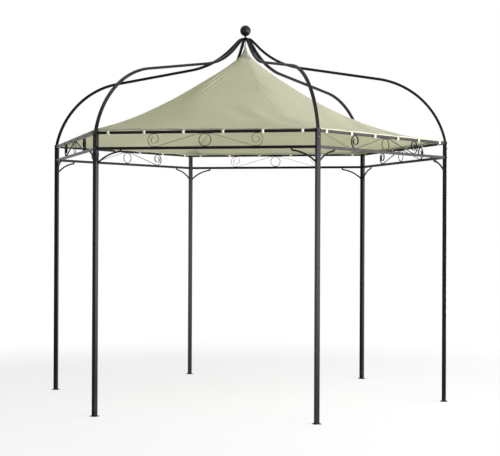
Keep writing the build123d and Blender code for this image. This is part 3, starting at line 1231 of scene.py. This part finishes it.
def scrollWelds(turn, run, height):
    # a short run on each face of two mirrored bars
    paths = []
    for sign in (-1, 1):
        for face in (-weldLook["barFace"], weldLook["barFace"]):
            paths.append([turn @ Vector((sign * x, face, height)) for x in run])
    return paths


def friezeWelds():
    # where ring and scrolls meet the rails
    high, low = railLow.z - weldLook["gap"], lowRailTop + weldLook["gap"]
    paths = []
    for side in range(6):
        turn = sideFrame(side)
        for height in (high, low):
            for face in (-weldLook["ringFace"], weldLook["ringFace"]):
                paths.append([turn @ Vector((x, face, height)) for x in weldLook["ringRun"]])
            paths += scrollWelds(turn, weldLook["voluteRun"], height)
        paths += scrollWelds(turn, weldLook["topRun"], high)
    return paths


def endRing(node, place, normal):
    # the outline of a bar's end on a plane, in order round its middle
    spots = [vertex.co.copy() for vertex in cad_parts[node].data.vertices]
    depth = weldLook["endSlice"]
    spots = [spot for spot in spots if abs((spot - place).dot(normal)) < depth and spot.x > 0]
    centre = sum(spots, Vector()) / len(spots)
    first = (spots[0] - centre).normalized()
    second = normal.cross(first)

    def turnOf(spot):
        return math.atan2((spot - centre).dot(second), (spot - centre).dot(first))

    ring = sorted(spots, key=turnOf)
    return ring + ring[:1]


def braceWelds():
    toe = endRing("braces_front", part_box("braces_front")[1], Vector((0, 0, 1)))
    outward = around(-cornerTurn - math.pi / 2, 1.0)
    face = around(-cornerTurn, cornerRadius) + outward * (postSize / 2)
    foot = endRing("braces_front", face, outward)
    paths = []
    for side in range(6):
        turn = Matrix.Rotation(side * cornerTurn, 3, "Z")
        for ring in (toe, foot):
            paths.append([turn @ spot for spot in ring])
            paths.append([turn @ Vector((-spot.x, spot.y, spot.z)) for spot in ring])
    return paths


def crownWelds():
    half = (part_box("rib_right")[1].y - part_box("rib_right")[0].y) / 2
    face = hubHigh.x
    height = (hubLow.z + hubHigh.z) / 2
    paths = []
    for index in range(6):
        turn = Matrix.Rotation(index * cornerTurn, 3, "Z")
        square = [(-half, -half), (half, -half), (half, half), (-half, half), (-half, -half)]
        paths.append([turn @ Vector((face, y, height + z)) for y, z in square])
    return paths


weldPaths = {"foot": footWelds, "frieze": friezeWelds, "brace": braceWelds, "crown": crownWelds}
for seed, (kind, paths) in enumerate(weldPaths.items(), weldLook["firstSeed"]):
    size = weldLook[kind]
    values = {"Pitch": size * weldLook["pitch"], "Length": size, "Thickness": size}
    values.update({"Jitter": weldLook["jitter"], "Seed": seed, "Finish": paint})
    keep(grow(kind + "Welds", pathCarrier(paths()), beadsAlongPaths, values))
print("bolts and welds made")

# stage

cameraFit = {
    "place": (2.2663, -10.9568, 1.44435),
    "yaw": 11.4384,
    "pitch": 0.17535,
    "roll": 0.26133,
    "focalPixels": 1265.162,
    "imageWidth": 500,
    "sensor": 36.0,
}


def placeCamera():
    yaw, pitch, roll = (math.radians(cameraFit[key]) for key in ("yaw", "pitch", "roll"))
    turn = Matrix.Rotation(yaw, 4, "Z") @ Matrix.Rotation(math.pi / 2 + pitch, 4, "X")
    turn = turn @ Matrix.Rotation(roll, 4, "Z")
    lens = bpy.data.cameras.new("photoCamera")
    lens.sensor_width = cameraFit["sensor"]
    lens.lens = cameraFit["focalPixels"] * cameraFit["sensor"] / cameraFit["imageWidth"]
    scene.camera = placed("photoCamera", lens)
    scene.camera.matrix_world = Matrix.Translation(cameraFit["place"]) @ turn


stageLook = {
    "floorHalf": 40.0,
    "floorDrop": 0.0008,
    "floorTone": 0.92,
    "shadowShare": 0.22,
    "fadeStart": 2.6,
    "fadeEnd": 6.0,
    "fill": 0.24,
}


def seenRay(sheet):
    # 1 for rays that see the backdrop itself
    kinds = ["Is Camera Ray", "Is Glossy Ray", "Is Transmission Ray"]
    first, second, third = (sheet.node("ShaderNodeLightPath", out=kind) for kind in kinds)
    return (first + second + third).clamped()


def placeFloor():
    half, drop = stageLook["floorHalf"], stageLook["floorDrop"]
    material, sheet, place = newFinish("paleFloor")
    reach = sheet.node("ShaderNodeVectorMath", {"operation": "LENGTH"}, {0: place}, "Value")
    fade = sheet.ramp(reach, stageLook["fadeStart"], stageLook["fadeEnd"])
    white = seenRay(sheet) * (1 - stageLook["shadowShare"] * (1 - fade))
    tone = (stageLook["floorTone"],) * 3 + (1.0,)
    matt = sheet.node("ShaderNodeBsdfDiffuse", {}, {"Color": tone})
    glow = sheet.node("ShaderNodeEmission", {}, {"Color": (1, 1, 1, 1), "Strength": 1.0})
    both = sheet.node("ShaderNodeMixShader", {}, {0: white, 1: matt, 2: glow})
    sheet.close(both)
    outline = [(-half, -half), (half, -half), (half, half), (-half, half)]
    floor = newPiece("floor", [(x, y, -drop) for x, y in outline], [(0, 1, 2, 3)], material)


def placeSky():
    world = bpy.data.worlds.new("studio")
    scene.world = world
    world.use_nodes = True
    sheet = NodeSheet(world.node_tree)
    level = stageLook["fill"] + seenRay(sheet) * (1 - stageLook["fill"])
    glow = sheet.node("ShaderNodeBackground", {}, {"Color": (1, 1, 1, 1), "Strength": level})
    sheet.node("ShaderNodeOutputWorld", {}, {"Surface": glow})


lampLook = {
    # azimuth, distance, height, size, power and the height that it shines at
    "key": (-38, 9.0, 1.5, (2.6, 3.0), 680.0, 1.5),
    "side": (4, 8.5, 1.5, (2.2, 3.0), 470.0, 1.5),
    "flank": (22, 8.5, 1.5, (3.0, 3.0), 170.0, 1.5),
    "edge": (65, 8.5, 1.5, (1.4, 3.0), 115.0, 1.5),
    "high": (-55, 4.5, 5.0, (2.0, 2.0), 82.0, 2.5),
    "right": (-15, 3.6, 4.6, (1.6, 1.6), 62.0, 2.5),
}


def placeLamps():
    for name, (azimuth, distance, height, size, power, aimHeight) in lampLook.items():
        lamp = bpy.data.lights.new(name, "AREA")
        lamp.shape = "RECTANGLE"
        lamp.size, lamp.size_y = size
        lamp.energy = power
        place = around(math.radians(azimuth), distance, height)
        toward = Vector((0, 0, aimHeight)) - place
        turn = toward.to_track_quat("-Z", "Y").to_matrix().to_4x4()
        placed(name, lamp).matrix_world = Matrix.Translation(place) @ turn


placeCamera()
placeFloor()
placeSky()
placeLamps()
print("stage set")
